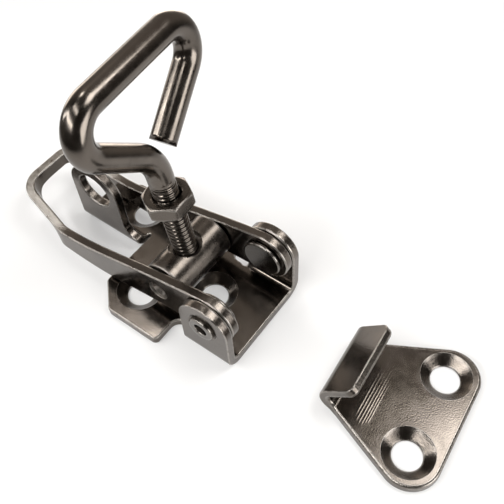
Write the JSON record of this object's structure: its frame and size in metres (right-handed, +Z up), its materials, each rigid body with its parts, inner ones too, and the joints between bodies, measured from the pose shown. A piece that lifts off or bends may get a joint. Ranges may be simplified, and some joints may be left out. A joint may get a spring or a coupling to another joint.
{
  "type": "over-centre toggle latch",
  "caption": "Over-centre toggle latch: base plate with lever, swivelling hook bolt with triangular loop and lock nut, padlock tab, and a separate curled keeper plate.",
  "frame": {"origin": "on the mounting face, on the centre line, straight under the lever's pivot axis", "axes": "+Z up from the mounting face, +X along the centre line from the base plate to the keeper, +Y to the side of the base plate's longer half"},
  "size_m": [0.133, 0.0435, 0.0721],
  "materials": {
    "sheet_nickel": "nickel plate over pressed steel, satin with bright edges",
    "keeper_nickel": "nickel plate over pressed steel, finely dimpled",
    "rivet_nickel": "nickel plate over turned steel",
    "lever_nickel": "nickel plate over rolled steel strip",
    "turned_nickel": "nickel plate over turned steel",
    "rod_nickel": "bright nickel plate over drawn steel rod",
    "nut_nickel": "nickel plate over machined steel"
  },
  "bodies": {
    "base": {"base_plate": "sheet_nickel", "near_rivet": "rivet_nickel", "far_rivet": "rivet_nickel", "keeper": "keeper_nickel"},
    "lever": {"lever": "lever_nickel"},
    "barrel": {"barrel": "turned_nickel"},
    "hook": {"hook_bolt": "rod_nickel"},
    "nut": {"lock_nut": "nut_nickel"}
  },
  "joints": [
    {"name": "lever_pivot", "type": "hinge", "parent": "base", "child": "lever", "pos_m": [0, 0, 0.0144], "axis": [0, 1, 0], "range_deg": [0, 100]},
    {"name": "hook_swivel", "type": "hinge", "parent": "lever", "child": "barrel", "pos_m": [-0.0163, 0, 0.0124], "axis": [0, 1, 0], "range_deg": [-45, 4]},
    {"name": "hook_turn", "type": "hinge", "parent": "barrel", "child": "hook", "pos_m": [-0.0163, 0, 0.0124], "axis": [-0.1599, 0, 0.9871], "continuous": true},
    {"name": "nut_spin", "type": "hinge", "parent": "hook", "child": "nut", "pos_m": [-0.01969, 0, 0.03333], "axis": [-0.1599, 0, 0.9871], "continuous": true}
  ]
}
